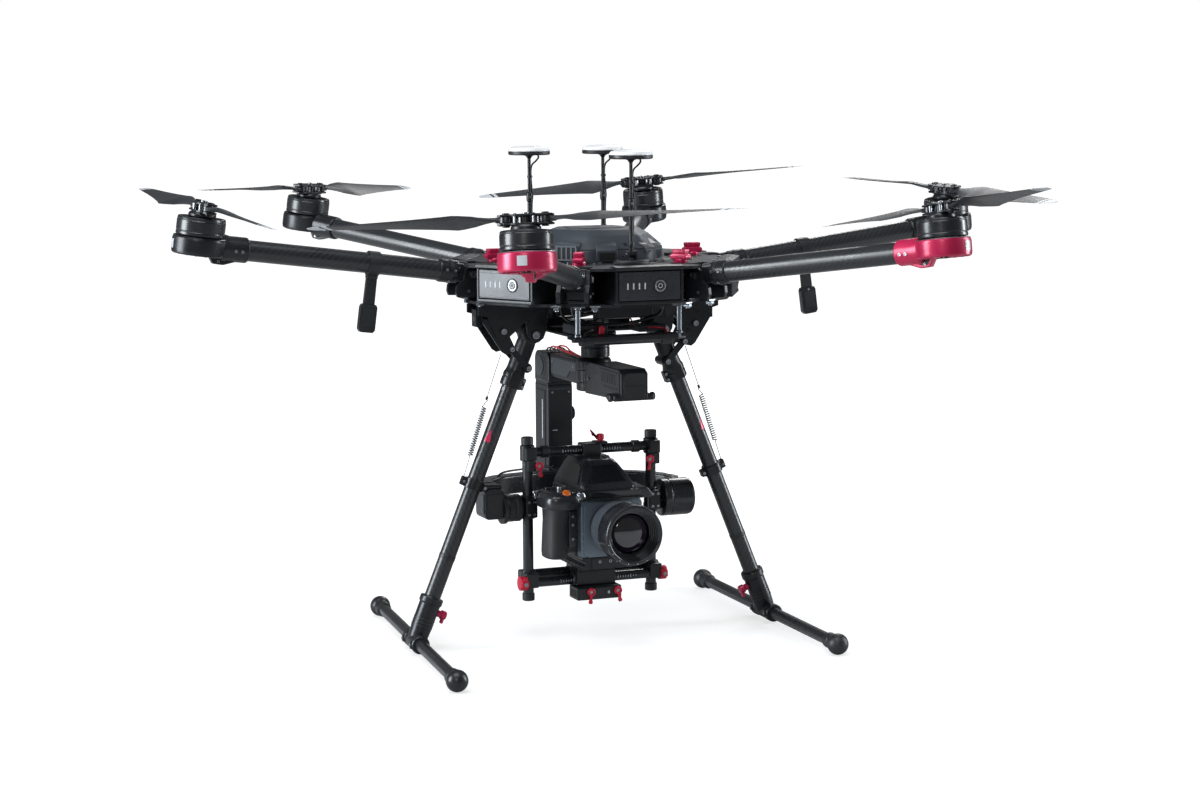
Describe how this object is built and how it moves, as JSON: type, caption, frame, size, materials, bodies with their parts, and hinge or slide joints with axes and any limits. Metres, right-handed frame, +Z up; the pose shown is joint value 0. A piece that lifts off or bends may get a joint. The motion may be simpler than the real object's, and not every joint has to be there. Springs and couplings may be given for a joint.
{
  "type": "hexacopter camera drone",
  "caption": "Hexacopter camera drone with folding arms and blades, retracting skid legs, folding receiver masts and a hanging gimbal that carries a medium-format camera",
  "frame": {"origin": "centre of the accessory bolt pattern, on the upper face of the top plate and on the hub's axis", "axes": "+Z up along the hub's axis, the aircraft faces -Y, +X to the left of its direction of flight"},
  "size_m": [1.2074, 1.3989, 0.699],
  "materials": {
    "carbon": "woven carbon fibre under satin lacquer",
    "black_metal": "satin black anodised",
    "red_metal": "satin crimson anodised",
    "black_plastic": "fine matt",
    "cover_grey": "satin blue-grey moulding",
    "battery_case": "satin",
    "propeller": "satin composite with silver tips",
    "white_plastic": "satin",
    "steel": "plain",
    "camera_black": "grained rubber and satin paint",
    "lens_black": "satin barrel"
  },
  "bodies": {
    "frame": {"bottom_plate": "carbon", "top_plate": "carbon", "battery_bay": "carbon", "batteries": "battery_case", "arm_yokes": "black_metal", "lock_knobs": "red_metal", "centre_cover": "cover_grey", "mast_feet": "black_plastic", "gear_brackets": "black_metal", "gimbal_deck": "black_metal", "electronics": "black_plastic", "plate_screws": "steel"},
    "left_leg": {"left_leg": "carbon", "left_skid": "black_plastic"},
    "left_crank": {"left_crank": "black_metal"},
    "left_link": {"left_link": "black_metal"},
    "right_leg": {"right_leg": "carbon", "right_skid": "black_plastic"},
    "right_crank": {"right_crank": "black_metal"},
    "right_link": {"right_link": "black_metal"},
    "pan_arm": {"pan_arm": "black_metal"},
    "roll_arm": {"roll_arm": "black_metal"},
    "camera_cage": {"tilt_cage": "black_metal", "camera_body": "camera_black", "lens": "lens_black"},
    "arm_a": {"arm_tube_a": "carbon", "motor_mount_a": "red_metal"},
    "arm_b": {"arm_tube_b": "carbon", "motor_mount_b": "red_metal"},
    "arm_c": {"arm_tube_c": "carbon", "motor_mount_c": "black_metal", "aerial_right": "black_plastic"},
    "arm_d": {"arm_tube_d": "carbon", "motor_mount_d": "black_metal"},
    "arm_e": {"arm_tube_e": "carbon", "motor_mount_e": "black_metal"},
    "arm_f": {"arm_tube_f": "carbon", "motor_mount_f": "black_metal", "aerial_left": "black_plastic"},
    "mast_front": {"mast_front": "white_plastic"},
    "mast_rear_left": {"mast_rear_left": "white_plastic"},
    "mast_rear_right": {"mast_rear_right": "white_plastic"},
    "rotor_a": {"rotor_a": "black_metal"},
    "rotor_b": {"rotor_b": "black_metal"},
    "rotor_c": {"rotor_c": "black_metal"},
    "rotor_d": {"rotor_d": "black_metal"},
    "rotor_e": {"rotor_e": "black_metal"},
    "rotor_f": {"rotor_f": "black_metal"},
    "blade_a1": {"blade_a1": "propeller"},
    "blade_a2": {"blade_a2": "propeller"},
    "blade_b1": {"blade_b1": "propeller"},
    "blade_b2": {"blade_b2": "propeller"},
    "blade_c1": {"blade_c1": "propeller"},
    "blade_c2": {"blade_c2": "propeller"},
    "blade_d1": {"blade_d1": "propeller"},
    "blade_d2": {"blade_d2": "propeller"},
    "blade_e1": {"blade_e1": "propeller"},
    "blade_e2": {"blade_e2": "propeller"},
    "blade_f1": {"blade_f1": "propeller"},
    "blade_f2": {"blade_f2": "propeller"}
  },
  "joints": [
    {"name": "left_gear", "type": "hinge", "parent": "frame", "child": "left_leg", "pos_m": [-0.098, 0.004, -0.103], "axis": [0, 1, 0], "range_deg": [0, 55]},
    {"name": "right_gear", "type": "hinge", "parent": "frame", "child": "right_leg", "pos_m": [0.098, 0.004, -0.103], "axis": [0, -1, 0], "range_deg": [0, 55]},
    {"name": "left_crank_pivot", "type": "hinge", "parent": "frame", "child": "left_crank", "pos_m": [-0.1455, 0.004, -0.096], "axis": [0, 1, 0], "range_deg": [0, 103.3]},
    {"name": "left_link_pivot", "type": "hinge", "parent": "left_leg", "child": "left_link", "pos_m": [-0.106, 0.004, -0.1505], "axis": [0, 1, 0], "range_deg": [-71.79, 0]},
    {"name": "right_crank_pivot", "type": "hinge", "parent": "frame", "child": "right_crank", "pos_m": [0.1455, 0.004, -0.096], "axis": [0, -1, 0], "range_deg": [0, 103.3]},
    {"name": "right_link_pivot", "type": "hinge", "parent": "right_leg", "child": "right_link", "pos_m": [0.106, 0.004, -0.1505], "axis": [0, -1, 0], "range_deg": [-71.79, 0]},
    {"name": "gimbal_pan", "type": "hinge", "parent": "frame", "child": "pan_arm", "pos_m": [0, 0, -0.14], "axis": [0, 0, 1], "range_deg": [-60, 60]},
    {"name": "gimbal_roll", "type": "hinge", "parent": "pan_arm", "child": "roll_arm", "pos_m": [0, 0.14, -0.353], "axis": [0, 1, 0], "range_deg": [-25, 25]},
    {"name": "gimbal_tilt", "type": "hinge", "parent": "roll_arm", "child": "camera_cage", "pos_m": [0, 0.025, -0.353], "axis": [1, 0, 0], "range_deg": [-40, 50]},
    {"name": "arm_a_fold", "type": "hinge", "parent": "frame", "child": "arm_a", "pos_m": [-0.094, -0.16281, -0.0149], "axis": [-0.866, 0.5, 0], "range_deg": [-78, 0]},
    {"name": "arm_b_fold", "type": "hinge", "parent": "frame", "child": "arm_b", "pos_m": [0.094, -0.16281, -0.0149], "axis": [-0.866, -0.5, 0], "range_deg": [-78, 0]},
    {"name": "arm_c_fold", "type": "hinge", "parent": "frame", "child": "arm_c", "pos_m": [0.188, 0, -0.0149], "axis": [0, -1, 0], "range_deg": [-58, 0]},
    {"name": "arm_d_fold", "type": "hinge", "parent": "frame", "child": "arm_d", "pos_m": [0.094, 0.16281, -0.0149], "axis": [0.866, -0.5, 0], "range_deg": [-78, 0]},
    {"name": "arm_e_fold", "type": "hinge", "parent": "frame", "child": "arm_e", "pos_m": [-0.094, 0.16281, -0.0149], "axis": [0.866, 0.5, 0], "range_deg": [-78, 0]},
    {"name": "arm_f_fold", "type": "hinge", "parent": "frame", "child": "arm_f", "pos_m": [-0.188, 0, -0.0149], "axis": [0, 1, 0], "range_deg": [-58, 0]},
    {"name": "mast_front_fold", "type": "hinge", "parent": "frame", "child": "mast_front", "pos_m": [0, -0.134, 0.013], "axis": [1, 0, 0], "range_deg": [0, 88]},
    {"name": "mast_rear_left_fold", "type": "hinge", "parent": "frame", "child": "mast_rear_left", "pos_m": [-0.057, 0.109, 0.013], "axis": [-1, 0, 0], "range_deg": [0, 88]},
    {"name": "mast_rear_right_fold", "type": "hinge", "parent": "frame", "child": "mast_rear_right", "pos_m": [0.057, 0.109, 0.013], "axis": [-1, 0, 0], "range_deg": [0, 88]},
    {"name": "rotor_a_spin", "type": "hinge", "parent": "arm_a", "child": "rotor_a", "pos_m": [-0.28264, -0.48709, 0.06001], "axis": [0.0235, 0.135, 0.9906], "continuous": true},
    {"name": "rotor_b_spin", "type": "hinge", "parent": "arm_b", "child": "rotor_b", "pos_m": [0.28264, -0.48709, 0.06001], "axis": [-0.0235, 0.135, 0.9906], "continuous": true},
    {"name": "rotor_c_spin", "type": "hinge", "parent": "arm_c", "child": "rotor_c", "pos_m": [0.56315, -0.00122, 0.06001], "axis": [-0.1287, -0.0471, 0.9906], "continuous": true},
    {"name": "rotor_d_spin", "type": "hinge", "parent": "arm_d", "child": "rotor_d", "pos_m": [0.28052, 0.48832, 0.06001], "axis": [-0.1051, -0.0879, 0.9906], "continuous": true},
    {"name": "rotor_e_spin", "type": "hinge", "parent": "arm_e", "child": "rotor_e", "pos_m": [-0.28052, 0.48832, 0.06001], "axis": [0.1051, -0.0879, 0.9906], "continuous": true},
    {"name": "rotor_f_spin", "type": "hinge", "parent": "arm_f", "child": "rotor_f", "pos_m": [-0.56315, -0.00122, 0.06001], "axis": [0.1287, -0.0471, 0.9906], "continuous": true},
    {"name": "blade_a1_fold", "type": "hinge", "parent": "rotor_a", "child": "blade_a1", "pos_m": [-0.26161, -0.49619, 0.0865], "axis": [-0.0235, -0.135, -0.9906], "range_deg": [-88, 0]},
    {"name": "blade_a2_fold", "type": "hinge", "parent": "rotor_a", "child": "blade_a2", "pos_m": [-0.30247, -0.47112, 0.08405], "axis": [0.0235, 0.135, 0.9906], "range_deg": [-88, 0]},
    {"name": "blade_b1_fold", "type": "hinge", "parent": "rotor_b", "child": "blade_b1", "pos_m": [0.2836, -0.50738, 0.08854], "axis": [-0.0235, 0.135, 0.9906], "range_deg": [-88, 0]},
    {"name": "blade_b2_fold", "type": "hinge", "parent": "rotor_b", "child": "blade_b2", "pos_m": [0.28048, -0.45993, 0.082], "axis": [0.0235, -0.135, -0.9906], "range_deg": [-88, 0]},
    {"name": "blade_c1_fold", "type": "hinge", "parent": "rotor_c", "child": "blade_c1", "pos_m": [0.56209, -0.02631, 0.08443], "axis": [-0.1287, -0.0471, 0.9906], "range_deg": [-88, 0]},
    {"name": "blade_c2_fold", "type": "hinge", "parent": "rotor_c", "child": "blade_c2", "pos_m": [0.55766, 0.02146, 0.08612], "axis": [0.1287, 0.0471, -0.9906], "range_deg": [-88, 0]},
    {"name": "blade_d1_fold", "type": "hinge", "parent": "rotor_d", "child": "blade_d1", "pos_m": [0.30117, 0.48085, 0.08729], "axis": [-0.1051, -0.0879, 0.9906], "range_deg": [-88, 0]},
    {"name": "blade_d2_fold", "type": "hinge", "parent": "rotor_d", "child": "blade_d2", "pos_m": [0.2545, 0.49131, 0.08326], "axis": [0.1051, 0.0879, -0.9906], "range_deg": [-88, 0]},
    {"name": "blade_e1_fold", "type": "hinge", "parent": "rotor_e", "child": "blade_e1", "pos_m": [-0.25858, 0.50038, 0.0845], "axis": [0.1051, -0.0879, 0.9906], "range_deg": [-88, 0]},
    {"name": "blade_e2_fold", "type": "hinge", "parent": "rotor_e", "child": "blade_e2", "pos_m": [-0.29709, 0.47178, 0.08605], "axis": [-0.1051, 0.0879, -0.9906], "range_deg": [-88, 0]},
    {"name": "blade_f1_fold", "type": "hinge", "parent": "rotor_f", "child": "blade_f1", "pos_m": [-0.55753, -0.02627, 0.08384], "axis": [-0.1287, 0.0471, -0.9906], "range_deg": [-88, 0]},
    {"name": "blade_f2_fold", "type": "hinge", "parent": "rotor_f", "child": "blade_f2", "pos_m": [-0.56222, 0.02142, 0.08671], "axis": [0.1287, -0.0471, 0.9906], "range_deg": [-88, 0]}
  ],
  "couplings": [
    {"joint": "left_crank_pivot", "follows": "left_gear", "ratio": 1.8782},
    {"joint": "left_link_pivot", "follows": "left_gear", "ratio": -1.3052},
    {"joint": "right_crank_pivot", "follows": "right_gear", "ratio": 1.8782},
    {"joint": "right_link_pivot", "follows": "right_gear", "ratio": -1.3052}
  ]
}
